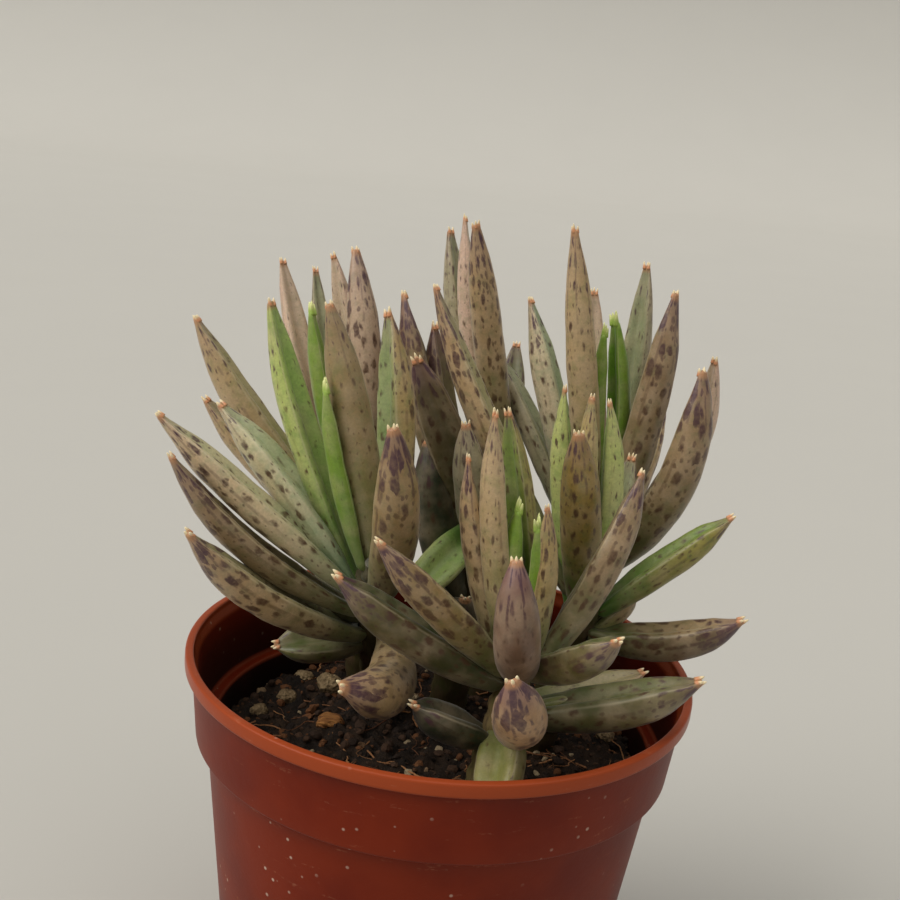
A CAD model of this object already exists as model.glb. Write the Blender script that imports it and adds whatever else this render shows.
"""A potted mother of thousands: thick spotted leaves on short stems in a round nursery pot."""

import math

import bmesh
import bpy
from bpy.props import FloatProperty, FloatVectorProperty, IntProperty, PointerProperty
from mathutils import Matrix, Quaternion, Vector, noise


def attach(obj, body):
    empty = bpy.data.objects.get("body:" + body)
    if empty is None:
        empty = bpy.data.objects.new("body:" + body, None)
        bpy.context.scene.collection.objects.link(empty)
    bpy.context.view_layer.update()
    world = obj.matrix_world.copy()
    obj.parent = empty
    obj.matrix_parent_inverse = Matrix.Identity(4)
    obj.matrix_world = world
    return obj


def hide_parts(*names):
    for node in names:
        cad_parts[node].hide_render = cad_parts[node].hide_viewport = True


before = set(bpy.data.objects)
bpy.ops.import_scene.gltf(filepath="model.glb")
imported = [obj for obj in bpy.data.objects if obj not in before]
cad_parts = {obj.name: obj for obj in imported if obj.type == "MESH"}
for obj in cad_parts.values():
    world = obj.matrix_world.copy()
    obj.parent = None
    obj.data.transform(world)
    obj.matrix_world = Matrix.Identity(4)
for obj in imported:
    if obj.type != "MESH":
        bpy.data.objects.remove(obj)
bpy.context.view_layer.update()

bl_info = {
    "name": "Potted mother of thousands",
    "version": (1, 0, 0),
    "blender": (4, 5, 0),
    "location": "3D View > Sidebar > Plant",
    "description": "Dresses the packed plant: pot, soil, grit, stems and toothed leaves",
    "category": "Object",
}

MM = 0.001
UP = Vector((0, 0, 1))

# The pot's heights and radii, in millimetres above its flat base.
POT_H = 72
LIP_R = 42.5
LIP_H = 2.4
LIP_INNER_R = 41.1
COLLAR_R = 41.3
COLLAR_INNER_R = 40.3
COLLAR_FOOT_R = 40.1
COLLAR_H = 15
LEDGE_DEPTH = 13
LEDGE_R = 38.9
BODY_INNER_R = 37
BODY_R = 38.2
BASE_R = 31.5
WALL = 1.2
FLOOR = 1.6
DRAIN_HOLES = 6
DRAIN_R = 3
DRAIN_CIRCLE_R = 24
SOIL_DEPTH = 17
SOIL_LUMP = 1.1

# Stems and leaves, in millimetres.
STEM_FOOT_R = 3.7
STEM_CROWN_R = 2.4
STEM_ROOT = 6
LEAF_OFFSET = 1.3
WIDEST = 0.46
BASE_WIDTH = 0.6
TIP_WIDTH = 0.26
TAPER = 3.1
YOUNG_TIP_WIDTH = 0.46
KEEL = 1.02
MARGIN_RISE = 0.46
CHANNEL = 0.14
BUD_OFFSET = 0.8
BUD_R = 1.5

# Leaf looks: outer face, channel face and foot colours, then how much of the
# dark spots and of the streaks under the tip a leaf shows.
LOOKS = {
    "beige": ("#C0A478", "#AAA074", "#76823E", 0.5, 0.5),
    "straw": ("#8E8248", "#848444", "#6C7438", 0.2, 0.1),
    "taupe": ("#927C50", "#8C7C54", "#66743A", 0.3, 0.3),
    "rosy": ("#DCBCA4", "#CCB498", "#9A9670", 0.3, 0.3),
    "spotted": ("#B89A70", "#A09A6C", "#667040", 0.9, 0.6),
    "light": ("#DCC29A", "#C2BE92", "#94A276", 0.75, 0.5),
    "frosted": ("#D4CAA2", "#B4BE94", "#829C74", 0.6, 0.4),
    "tan": ("#967A4C", "#86784A", "#5E6630", 1.05, 0.9),
    "umber": ("#947A58", "#827450", "#586234", 0.95, 0.6),
    "split": ("#B49A62", "#8CA464", "#648044", 0.8, 0.5),
    "mink": ("#BCA086", "#B0987C", "#7E7C58", 0.8, 0.5),
    "flushed": ("#BCA66C", "#94A458", "#5C843A", 0.5, 0.3),
    "pallid": ("#D0C09C", "#A2B48C", "#869C74", 0.6, 0.3),
    "green": ("#BCC872", "#9CBC60", "#628C3A", 0.4, 0.2),
    "lime": ("#968E3E", "#74903A", "#466C20", 0.6, 0.5),
    "citrus": ("#5A5012", "#4E5A1C", "#283C0E", 0.85, 0.6),
    "olive": ("#967C34", "#7E8438", "#46621E", 0.65, 0.7),
    "dark": ("#846C46", "#665A38", "#424A26", 1.1, 1.1),
    "shaded": ("#544A20", "#3E4C22", "#2A3816", 0.9, 0.6),
    "deep": ("#28321A", "#243016", "#1C280E", 0.5, 0.2),
    "mauve": ("#745642", "#6A5440", "#564630", 0.4, 1.3),
    "striped": ("#A47E54", "#947048", "#6C5232", 1.0, 1.4),
    "amber": ("#B09266", "#AC7A34", "#6C6034", 0.9, 0.9),
    "banded": ("#624C2C", "#A2885E", "#546030", 1.1, 1.0),
    "dusty": ("#6E643C", "#646A3C", "#485628", 0.85, 0.6),
    "grey": ("#A89E7E", "#909870", "#667244", 0.5, 0.4),
    "dull": ("#66682E", "#4E5C26", "#38441A", 0.4, 0.2),
    "young": ("#789A2A", "#72A030", "#588222", 0.0, 0.0),
}

# Shoots. Places are mm right of, away behind and above the middle of the rim.
# Each leaf: where its tip reaches, the height at which it leaves the stem,
# the compass side its back faces in degrees, its width, its bow as a share of
# its length, its look, and where a leaf is twisted, by how many degrees.
SHOOTS = {
    "front_right": {
        "foot": (9, -17),
        "crown": (12, -20.5, 10),
        "leaves": [
            ((4, -24, 48), 8, 200, 4.8, 0.02, "beige"),
            ((6, -18, 47), 9, 40, 5, 0.03, "lime"),
            ((1, -20, 40), 7, 190, 4.6, 0.03, "spotted"),
            ((13, -24, 35), 8, -20, 4.2, 0.03, "split"),
            ((-10, -32, 30), 8, 210, 6.8, 0, "tan"),
            ((-16, -26, 22), 6, 193, 7.8, 0.03, "shaded"),
            ((9, -34, 30), 9, -85, 6.8, 0.2, "mauve"),
            ((10, -42, 16), 2, -60, 8, 0.15, "striped"),
            ((27, -14, 39), 8, -20, 6.4, 0.05, "umber"),
            ((24, -36, 21), 9, -45, 7, 0.03, "citrus"),
            ((39, -22, 10), 1, -5, 8.2, 0.05, "dusty"),
            ((-3, -26, 3), -4, 203, 7, 0.02, "deep"),
            ((32, -12, 6), 2, 20, 6.4, 0.06, "beige"),
            ((10, -34, -8), -1, -80, 7.6, 0.02, "straw"),
        ],
        "young": [
            ((9, -23, 34), 11, 190, 3.8, 0.03, "young"),
            ((12, -24, 32), 11, -10, 3.8, 0.03, "young"),
        ],
    },
    "front_left": {
        "foot": (-10, 13),
        "crown": (-12, -14, 18),
        "leaves": [
            ((-22, -12, 59), 16, -30, 6.4, 0.01, "taupe"),
            ((-32, -4, 57), 15, 150, 5.8, 0.04, "green"),
            ((-14, -2, 57), 16, 20, 6.8, 0.04, "split"),
            ((-10, -27, 45), 14, -45, 7, 0.09, "tan"),
            ((-45, -18, 41), 14, 187, 6.4, 0.01, "light"),
            ((-42, -22, 36), 10, 197, 5.8, 0.075, "umber"),
            ((-38, -26, 26), 5, 208, 7.2, 0.07, "spotted"),
            ((-38, -8, 41), 14, 167, 7, -0.03, "frosted"),
            ((-27, -6, 1), 3, 165, 7.2, 0.02, "dull"),
            ((-13.5, -33, 8), 5, 0, 8.4, 0.2, "amber", 75),
            ((-31, 0, 11), 9, 144, 6.6, 0.03, "shaded"),
        ],
        "young": [
            ((-21, -16, 47), 19, 190, 3.6, 0.02, "young"),
        ],
    },
    "back_left": {
        "foot": (-14, 23),
        "crown": (-17, 10, 20),
        "leaves": [
            ((-46, 8, 51), 17, 184, 7, 0.04, "beige"),
            ((-36, 30, 59), 15, 132, 5.2, 0.035, "rosy"),
            ((-30, 30, 58), 16, 120, 4, 0.03, "grey"),
            ((-26, 22, 62), 17, 30, 4.8, 0.03, "rosy"),
            ((-21.6, 16, 64), 17, -50, 6.2, 0.04, "mink"),
            ((-45, 14, 36), 13, 160, 6.4, 0.02, "beige"),
            ((-16, 36, 44), 15, 85, 5.8, 0.04, "grey"),
            ((-34, 32, 26), 9, 130, 5.8, 0.05, "dusty"),
        ],
        "young": [
            ((-28, 15, 53), 21, 180, 4.2, 0.02, "young"),
        ],
    },
    "middle": {
        "foot": (2, 14),
        "crown": (5, 5, 24),
        "leaves": [
            ((-12.4, 12, 58), 18, 190, 7, 0.02, "dark"),
            ((-7, 14, 53), 18, 160, 6.4, 0.03, "dark"),
            ((-9, 4, 49), 19, 65, 7, -0.02, "dark"),
            ((-6, -8, 13), 22, 215, 6.6, 0.04, "green"),
            ((-6, 6, 35), 5, 235, 7.2, 0.05, "deep"),
            ((-5, 0, 15), 1, 225, 7.6, 0.05, "deep"),
            ((3, -4, 12), 3, -95, 6.6, 0.05, "deep"),
            ((0, -4, 41), 17, -90, 5.6, 0.04, "grey"),
            ((-2, 20, 30), 12, 110, 5.6, 0.04, "dull"),
        ],
        "young": [],
    },
    "back": {
        "foot": (7, 24),
        "crown": (8, 24, 27),
        "leaves": [
            ((-6.6, 36, 67), 24, 150, 5.8, 0.03, "grey"),
            ((-4, 30, 70), 24, 180, 5, 0.02, "rosy"),
            ((-2, 20, 70), 24, -70, 5.6, -0.03, "spotted"),
            ((8, 44, 46), 21, 95, 5.6, 0.05, "dusty"),
            ((-8, 42, 40), 18, 135, 5.4, 0.05, "grey"),
            ((14, 42, 16), 6, 75, 5.8, 0.06, "dull"),
        ],
        "young": [],
    },
    "back_right": {
        "foot": (22, 18),
        "crown": (25, 12, 22),
        "leaves": [
            ((14, 8, 72), 18, -120, 5.2, 0, "beige"),
            ((20, 26, 60), 18, 90, 4.8, 0.04, "rosy"),
            ((28, 22, 66), 18, 45, 5.2, 0.03, "grey"),
            ((32, 12, 63), 17, -30, 6.8, 0.015, "umber"),
            ((37, 4, 52), 14, -40, 7.6, 0.12, "umber"),
            ((41, 16, 52), 15, 30, 6, 0.13, "rosy"),
            ((9, 22, 58), 17, 170, 6.4, -0.01, "pallid"),
            ((4, 31, 47), 16, 160, 5.6, -0.02, "grey"),
            ((36, 34, 40), 14, 55, 5.8, 0.05, "spotted"),
            ((24, 40, 34), 11, 95, 5.8, 0.05, "dusty"),
        ],
        "young": [
            ((21.5, 13, 55), 23, 200, 3.4, 0.02, "young"),
            ((23, 14, 57), 23, 20, 4.4, 0.04, "young"),
        ],
    },
    "right": {
        "foot": (18, 5),
        "crown": (23, -4, 14),
        "leaves": [
            ((17, -14, 44), 11, -90, 6.6, 0, "olive"),
            ((15, -2, 48), 11, 170, 4.6, 0.02, "green"),
            ((19, -6, 48), 12, 200, 4.6, 0, "flushed"),
            ((22, -4, 47), 12, 0, 4.8, 0.03, "green"),
            ((44, -2, 30), 12, 5, 6, 0, "lime"),
            ((47, -8, 15), 9, -12, 7.4, 0.1, "banded"),
            ((31, 2, 15), 8, 30, 5.6, 0.06, "beige"),
            ((-7, 4, 61), 14, 170, 6, 0.03, "spotted"),
            ((28, 6, 36), 8, 70, 5.4, 0.04, "grey"),
        ],
        "young": [],
    },
}

# Stones lying half in the soil: place, radius, flatness and finish.
STONES = {
    "pumice_1": ((-20, 17), 2.3, 0.8),
    "pumice_2": ((-27, 11), 1.7, 0.7),
    "pumice_3": ((-31, 5), 1.5, 0.8),
    "pumice_4": ((-25, 20), 1.6, 0.7),
    "pumice_5": ((31, 9), 1.5, 0.8),
    "bark": ((-18, 3), 2.2, 0.5),
}


# Node trees


class Field:
    """A value in a node tree. Reckoning with it adds the nodes that do the sum."""

    def __init__(self, tree, socket):
        self.tree = tree
        self.socket = socket

    def is_vector(self):
        return self.socket.type in {"VECTOR", "RGBA"}

    def math(self, operation, *others):
        node = self.tree.nodes.new("ShaderNodeMath")
        node.operation = operation
        for socket, value in zip(node.inputs, (self, *others)):
            feed(self.tree, socket, value)
        return Field(self.tree, node.outputs[0])

    def vector(self, operation, *others):
        node = self.tree.nodes.new("ShaderNodeVectorMath")
        node.operation = operation
        for socket, value in zip(node.inputs, (self, *others)):
            feed(self.tree, socket, value)
        single = operation in {"LENGTH", "DISTANCE", "DOT_PRODUCT"}
        return Field(self.tree, node.outputs["Value" if single else "Vector"])

    def scaled(self, factor):
        node = self.tree.nodes.new("ShaderNodeVectorMath")
        node.operation = "SCALE"
        feed(self.tree, node.inputs[0], self)
        feed(self.tree, node.inputs["Scale"], factor)
        return Field(self.tree, node.outputs["Vector"])

    def __add__(self, other):
        return self.vector("ADD", other) if self.is_vector() else self.math("ADD", other)

    def __sub__(self, other):
        if self.is_vector():
            return self.vector("SUBTRACT", other)
        return self.math("SUBTRACT", other)

    def __rsub__(self, other):
        return (self * -1) + other

    def __mul__(self, other):
        if not self.is_vector():
            return self.math("MULTIPLY", other)
        single = not isinstance(other, tuple) and not (isinstance(other, Field) and other.is_vector())
        return self.scaled(other) if single else self.vector("MULTIPLY", other)

    def __pow__(self, other):
        return self.math("POWER", other)

    __radd__ = __add__
    __rmul__ = __mul__

    def least(self, other):
        return self.math("MINIMUM", other)

    def most(self, other):
        return self.math("MAXIMUM", other)

    def ramp(self, low, high, start=0.0, end=1.0):
        """Runs smoothly from start to end while this value runs from low to high."""
        node = self.tree.nodes.new("ShaderNodeMapRange")
        node.interpolation_type = "SMOOTHSTEP"
        for socket, value in zip(node.inputs, (self, low, high, start, end)):
            feed(self.tree, socket, value)
        return Field(self.tree, node.outputs[0])

    def axis(self, name):
        node = self.tree.nodes.new("ShaderNodeSeparateXYZ")
        feed(self.tree, node.inputs[0], self)
        return Field(self.tree, node.outputs[name])


def feed(tree, socket, value):
    """Joins a field to a socket, or sets the socket to a plain value."""
    if isinstance(value, Field):
        tree.links.new(value.socket, socket)
    else:
        socket.default_value = value


def add_node(tree, kind, inputs=None, **settings):
    """Adds a node, sets its choices, and feeds its inputs by name."""
    node = tree.nodes.new(kind)
    for name, value in settings.items():
        setattr(node, name, value)
    for name, value in (inputs or {}).items():
        socket = next(s for s in node.inputs if s.name == name and s.enabled)
        feed(tree, socket, value)
    return node


def out(node, name=None):
    """The named output of a node as a field, or its first one."""
    sockets = [s for s in node.outputs if s.enabled]
    return Field(node.id_data, next(s for s in sockets if name in (None, s.name)))


def join_axes(tree, x, y, z):
    return out(add_node(tree, "ShaderNodeCombineXYZ", {"X": x, "Y": y, "Z": z}))


def mixed(tree, share, low, high):
    """Goes from one colour to another as the share goes from 0 to 1."""
    node = tree.nodes.new("ShaderNodeMix")
    node.data_type = "RGBA"
    feed(tree, node.inputs[0], share)
    feed(tree, node.inputs[6], low)
    feed(tree, node.inputs[7], high)
    return Field(tree, node.outputs[2])


def noise_field(tree, place, scale, detail=2.0, output="Fac", rough=0.5):
    node = add_node(
        tree,
        "ShaderNodeTexNoise",
        {"Vector": place, "Scale": scale, "Detail": detail, "Roughness": rough},
    )
    return out(node, output)


def arrange(tree):
    """Sets the nodes out in columns, each to the right of what feeds it."""
    column = {}

    def depth(node):
        if node.name not in column:
            column[node.name] = 0
            sources = [link.from_node for s in node.inputs for link in s.links]
            column[node.name] = 1 + max(map(depth, sources), default=-1)
        return column[node.name]

    filled = {}
    for node in tree.nodes:
        x = depth(node)
        filled[x] = filled.get(x, 0) + 1
        node.location = (220 * x, -170 * filled[x])


# Colours and materials


def paint(code):
    """A linear colour with alpha from a #RRGGBB screen colour."""
    shares = [int(code[i : i + 2], 16) / 255 for i in (1, 3, 5)]
    return (*[c / 12.92 if c <= 0.04045 else ((c + 0.055) / 1.055) ** 2.4 for c in shares], 1.0)


def new_material(name, **uniform):
    """A material with a Principled shader whose uniform values are set."""
    material = bpy.data.materials.new(name)
    material.use_nodes = True
    tree = material.node_tree
    shader = tree.nodes["Principled BSDF"]
    for socket, value in uniform.items():
        shader.inputs[socket.replace("_", " ")].default_value = value
    return material, tree, shader


def attribute(tree, name, output="Fac"):
    node = add_node(tree, "ShaderNodeAttribute", attribute_type="GEOMETRY", attribute_name=name)
    return out(node, output)


def object_place(tree):
    return out(add_node(tree, "ShaderNodeTexCoord"), "Object")


def bumped(tree, shader, height, distance, strength=1.0, under=None):
    """Raises the surface by a height field, over an earlier bump if there is one."""
    inputs = {"Height": height, "Distance": distance, "Strength": strength}
    if under:
        inputs["Normal"] = under
    normal = out(add_node(tree, "ShaderNodeBump", inputs))
    feed(tree, shader.inputs["Normal"], normal)
    return normal


def spots_on(tree, place, cells, size, presence):
    """Soft dark spots: one in each cell of a shaken lattice over the unrolled skin."""
    spread = place * cells
    shaken = spread + (noise_field(tree, spread, 2.0, 2.0, "Color") - (0.5, 0.5, 0.5)) * 0.6
    cell = add_node(
        tree,
        "ShaderNodeTexVoronoi",
        {"Vector": shaken, "Scale": 1.0, "Randomness": 0.75},
        voronoi_dimensions="2D",
    )
    chance = out(cell, "Color").axis("X")
    radius = chance.ramp(0.0, 1.0, 0.55, 1.4) * size
    spot = (out(cell, "Distance") - radius).ramp(0.13, -0.1)
    return spot * out(cell, "Color").axis("Y").ramp(presence, presence + 0.05, 1.0, 0.0)


def leaf_material(name, tooth_foot, tooth_tip, apex):
    """The waxy leaf skin: face colours, mottling, spots, streaks and tooth caps."""
    material, tree, shader = new_material(
        name,
        Specular_IOR_Level=0.5,
        Sheen_Weight=0.1,
        Sheen_Roughness=0.45,
        Subsurface_Weight=0.12,
        Subsurface_Radius=(0.9, 0.7, 0.3),
        Subsurface_Scale=0.0012,
    )
    along = attribute(tree, "along")
    tooth = attribute(tree, "tooth")
    turn = attribute(tree, "turn", "Vector")
    look = attribute(tree, "look", "Vector")
    outer, inner, foot = [attribute(tree, n, "Color") for n in ("outer", "inner", "foot")]
    across, facing = turn.axis("X").math("ABSOLUTE"), turn.axis("Y")
    angle = turn.axis("X").math("ARCTAN2", facing * -1)
    seed = look.axis("Z") * 9.7
    own = join_axes(tree, angle + seed, turn.axis("Z") + seed, seed)
    place = object_place(tree)
    cloud = noise_field(tree, place, 260, 3.0)
    grain = noise_field(tree, place, 2600, 3.0, rough=0.6)

    channel = (facing + (cloud - 0.5) * 0.8).ramp(0.0, 0.95)
    skin = mixed(tree, channel, outer, inner)
    skin = mixed(tree, (along + (cloud - 0.5) * 0.35).ramp(0.66, 0.02, 0.0, 0.95), skin, foot)
    mottle = noise_field(tree, place, 620, 3.0, rough=0.6)
    skin = mixed(tree, mottle.ramp(0.45, 0.7, 0.0, 0.4), skin, foot)
    skin = mixed(tree, cloud.ramp(0.3, 0.75, 0.0, 0.3), skin, paint("#D2B99A"))
    skin = mixed(tree, grain.ramp(0.35, 0.7, 0.16, 0.0), skin, paint("#4A4630"))
    margin = (facing - 0.42).math("ABSOLUTE").ramp(0.12, 0.0, 0.0, 0.26)
    skin = mixed(tree, margin * along.ramp(0.1, 0.5), skin, paint("#D8C8A8"))

    skin = mixed(tree, along.ramp(0.34, 0.0, 0.0, 0.32), skin, paint("#2C4418"))

    near_tip = along.ramp(0.6, 1.0)
    turning = along.ramp(0.78, 1.0, 0.0, 0.5) * look.axis("Y")
    skin = mixed(tree, turning, skin, paint("#7E5A5C"))
    amount = look.axis("X") * channel.ramp(0.0, 1.0, 1.0, 0.7) * (near_tip * 0.6 + 0.88)
    amount = amount * along.ramp(0.05, 0.35, 0.5, 1.0)
    large = spots_on(tree, own, (1.75, 0.29, 1.0), amount * 0.29, 0.68)
    small = spots_on(tree, own, (3.2, 0.66, 1.0), amount * 0.24, 0.4) * 0.75
    whole = angle.math("ABSOLUTE").ramp(3.08, 2.85)
    wobble = (cloud - 0.5) * 0.35
    streak = (across - wobble - 0.4).math("ABSOLUTE").ramp(0.11, 0.02)
    below = (along + (mottle - 0.5) * 0.5).ramp(0.6, 0.85)
    broken = noise_field(tree, own * (1.6, 0.5, 1.0), 1.0, 2.0).ramp(0.38, 0.5)
    streak = streak * below * broken * facing.ramp(0.15, -0.1) * look.axis("Y")
    edge = (facing + 0.1 - wobble * 0.4).math("ABSOLUTE").ramp(0.12, 0.03) * broken
    edge = edge * along.ramp(0.3, 0.55) * look.axis("Y") * 0.85
    dark = (large.most(small) * whole).most(streak).most(edge).least(1.0)
    depth = noise_field(tree, place, 1500, 2.0).ramp(0.25, 0.7, 0.66, 0.96)
    ink = mixed(tree, near_tip, paint("#50341E"), paint("#482A3A"))
    skin = mixed(tree, dark * depth, skin, ink)
    skin = mixed(tree, along.ramp(0.975, 1.0, 0.0, 0.85), skin, apex)

    cap = mixed(tree, tooth.ramp(0.25, 0.95), tooth_foot, tooth_tip)
    skin = mixed(tree, tooth.ramp(0.0, 0.2), skin, cap)
    feed(tree, shader.inputs["Base Color"], skin)
    feed(tree, shader.inputs["Roughness"], (cloud * 0.14) + (grain * 0.1) + 0.29)
    pores = out(
        add_node(tree, "ShaderNodeTexVoronoi", {"Vector": place, "Scale": 5200.0}), "Distance"
    )
    soft = bumped(tree, shader, cloud, 0.0003, 0.5)
    bumped(tree, shader, pores + grain * 0.6, 0.00003, 0.6, soft)
    arrange(tree)
    return material


def stem_material(name, green, brown):
    material, tree, shader = new_material(name, Specular_IOR_Level=0.3)
    place = object_place(tree)
    cloud = noise_field(tree, place, 300, 4.0)
    grain = noise_field(tree, place * (1.0, 1.0, 0.3), 1800, 3.0)
    skin = mixed(tree, cloud.ramp(0.35, 0.65), green, brown)
    skin = mixed(tree, grain.ramp(0.5, 0.68, 0.0, 0.6), skin, paint("#4C3A2C"))
    feed(tree, shader.inputs["Base Color"], skin)
    feed(tree, shader.inputs["Roughness"], grain * 0.2 + 0.5)
    bumped(tree, shader, cloud + grain * 0.5, 0.0003, 0.7)
    arrange(tree)
    return material


def pot_material():
    """Terracotta-coloured plastic: a glossy lip, scuffs, lime specks and dusty inside."""
    material, tree, shader = new_material("pot plastic", Specular_IOR_Level=0.14)
    place = object_place(tree)
    height = place.axis("Z")
    level = join_axes(tree, place.axis("X"), place.axis("Y"), 0.0)
    radius = level.vector("LENGTH")
    cloud = noise_field(tree, place, 70, 4.0)
    grain = noise_field(tree, place, 1500, 4.0, rough=0.7)
    drawn = noise_field(tree, place * (1.0, 1.0, 6.0), 120, 4.0, rough=0.65)
    skin = mixed(tree, cloud.ramp(0.3, 0.7), paint("#661A04"), paint("#762408"))
    lip = height.ramp((POT_H - LIP_H - 0.6) * MM, (POT_H - LIP_H + 0.6) * MM)
    skin = mixed(tree, lip * 0.75, skin, paint("#A44A26"))
    scuffs = drawn.ramp(0.6, 0.74) * grain.ramp(0.42, 0.6)
    skin = mixed(tree, scuffs * 0.32, skin, paint("#C89070"))
    lime = out(
        add_node(tree, "ShaderNodeTexVoronoi", {"Vector": place, "Scale": 420.0}), "Distance"
    )
    lime = lime.ramp(0.16, 0.08) * cloud.ramp(0.5, 0.62)
    skin = mixed(tree, lime * 0.55, skin, paint("#DCC8B4"))
    inside = radius.ramp(COLLAR_INNER_R * MM, (COLLAR_INNER_R - 0.6) * MM)
    normal = out(add_node(tree, "ShaderNodeNewGeometry"), "Normal")
    outwards = place.axis("X") * normal.axis("X") + place.axis("Y") * normal.axis("Y")
    inside = inside * outwards.ramp(-0.004, -0.008)
    dust = inside * height.ramp((POT_H - 1) * MM, (POT_H - SOIL_DEPTH) * MM, 0.45, 0.97)
    skin = mixed(tree, dust * cloud.ramp(0.2, 0.6, 0.7, 1.0), skin, paint("#0C0503"))
    ledge = (height - (POT_H - LEDGE_DEPTH) * MM).math("ABSOLUTE").ramp(0.0008, 0.0003)
    skin = mixed(tree, ledge * inside * 0.7, skin, paint("#8A3A20"))
    feed(tree, shader.inputs["Base Color"], skin)
    gloss = (lip * -0.12) + (scuffs * 0.25) + (lime * 0.3) + (dust * 0.3) + (cloud * 0.1) + 0.38
    feed(tree, shader.inputs["Roughness"], gloss)
    soft = bumped(tree, shader, cloud, 0.0006, 0.3)
    bumped(tree, shader, grain - scuffs * 0.6 + lime, 0.00005, 0.5, soft)
    arrange(tree)
    return material


def soil_material():
    material, tree, shader = new_material("damp peat", Specular_IOR_Level=0.3)
    place = object_place(tree)
    cloud = noise_field(tree, place, 260, 5.0, rough=0.6)
    grain = noise_field(tree, place, 1900, 5.0, rough=0.7)
    skin = mixed(tree, cloud.ramp(0.35, 0.68), paint("#1A120B"), paint("#342416"))
    skin = mixed(tree, grain.ramp(0.56, 0.72, 0.0, 0.6), skin, paint("#6A5038"))
    feed(tree, shader.inputs["Base Color"], skin)
    feed(tree, shader.inputs["Roughness"], grain * 0.3 + 0.68)
    bumped(tree, shader, cloud + grain, 0.0006, 1.0)
    arrange(tree)
    return material


def crumb_material():
    """Peat crumbs: most are dark, some reddish, a few of pale grit."""
    material, tree, shader = new_material("peat crumbs", Specular_IOR_Level=0.3)
    place = object_place(tree)
    shade = attribute(tree, "shade")
    grain = noise_field(tree, place, 2400, 4.0, rough=0.7)
    skin = mixed(tree, shade.ramp(0.0, 0.6), paint("#20160F"), paint("#4A3424"))
    skin = mixed(tree, shade.ramp(0.72, 0.8), skin, paint("#6E4628"))
    skin = mixed(tree, shade.ramp(0.93, 0.97), skin, paint("#A89474"))
    skin = mixed(tree, grain.ramp(0.45, 0.7, 0.0, 0.45), skin, paint("#15100C"))
    feed(tree, shader.inputs["Base Color"], skin)
    feed(tree, shader.inputs["Roughness"], grain * 0.2 + 0.72)
    bumped(tree, shader, grain, 0.0002, 1.0)
    arrange(tree)
    return material


def rootlet_material():
    material, tree, shader = new_material("dry rootlets", Specular_IOR_Level=0.3)
    shade = attribute(tree, "shade")
    grain = noise_field(tree, object_place(tree), 1500, 3.0)
    skin = mixed(tree, shade.ramp(0.0, 1.0), paint("#5A3420"), paint("#A8764C"))
    skin = mixed(tree, grain.ramp(0.5, 0.7, 0.0, 0.5), skin, paint("#35241A"))
    feed(tree, shader.inputs["Base Color"], skin)
    feed(tree, shader.inputs["Roughness"], grain * 0.2 + 0.6)
    arrange(tree)
    return material


def stone_material(name, light, dark, stretch):
    """Pitted grit, or fibrous bark when the pattern is stretched."""
    material, tree, shader = new_material(name, Specular_IOR_Level=0.3)
    place = object_place(tree) * stretch
    cloud = noise_field(tree, place, 420, 5.0, rough=0.65)
    pits = out(
        add_node(tree, "ShaderNodeTexVoronoi", {"Vector": place, "Scale": 1700.0}), "Distance"
    )
    skin = mixed(tree, cloud.ramp(0.35, 0.65), dark, light)
    skin = mixed(tree, pits.ramp(0.25, 0.05, 0.0, 0.6), skin, paint("#3A2A1C"))
    feed(tree, shader.inputs["Base Color"], skin)
    feed(tree, shader.inputs["Roughness"], cloud * 0.2 + 0.7)
    bumped(tree, shader, cloud + pits, 0.0004, 0.9)
    arrange(tree)
    return material


def plain_material(name, colour, roughness):
    material, tree, shader = new_material(name, Roughness=roughness)
    cloud = noise_field(tree, object_place(tree), 9, 2.0)
    low = tuple(0.97 * c for c in colour[:3])
    feed(tree, shader.inputs["Base Color"], mixed(tree, cloud, (*low, 1.0), colour))
    arrange(tree)
    return material


# Meshes


def new_piece(name, mesh, *materials):
    """Puts a finished mesh in the scene as a piece at the origin."""
    for material in materials:
        mesh.materials.append(material)
    piece = bpy.data.objects.new(name, mesh)
    bpy.context.scene.collection.objects.link(piece)
    return piece


def settle(piece, node_names):
    """Ties a finished piece to the plant's one body."""
    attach(piece, "root")
    if node_names:
        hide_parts(*node_names)


def outward(mesh, weld=1e-7):
    """Welds doubled points, turns every face outwards and shades it smooth."""
    shape = bmesh.new()
    shape.from_mesh(mesh)
    bmesh.ops.remove_doubles(shape, verts=shape.verts, dist=weld)
    bmesh.ops.recalc_face_normals(shape, faces=shape.faces)
    for face in shape.faces:
        face.smooth = True
    shape.to_mesh(mesh)
    shape.free()


def turned(name, outline, sides):
    """A closed mesh turned about Z from a run of (radius, height) in millimetres."""
    points = []
    faces = []
    for j in range(sides):
        angle = 2 * math.pi * j / sides
        for r, z in outline:
            points.append((r * MM * math.cos(angle), r * MM * math.sin(angle), z * MM))
    count = len(outline)
    for j in range(sides):
        here, there = j * count, (j + 1) % sides * count
        for i in range(count - 1):
            faces.append((here + i, there + i, there + i + 1, here + i + 1))
    mesh = bpy.data.meshes.new(name)
    mesh.from_pydata(points, [], faces)
    outward(mesh)
    return mesh


def rounded(outline, radius, steps=4):
    """Swaps each corner of a run of (radius, height) for a short arc."""
    points = [Vector(p) for p in outline]
    soft = [points[0]]
    for before, corner, after in zip(points, points[1:], points[2:]):
        reach = min(radius, (corner - before).length * 0.45, (after - corner).length * 0.45)
        start = corner + (before - corner).normalized() * reach
        end = corner + (after - corner).normalized() * reach
        for i in range(steps + 1):
            t = i / steps
            soft.append(start.lerp(corner, t).lerp(corner.lerp(end, t), t))
    return [tuple(p) for p in [*soft, points[-1]]]


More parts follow.
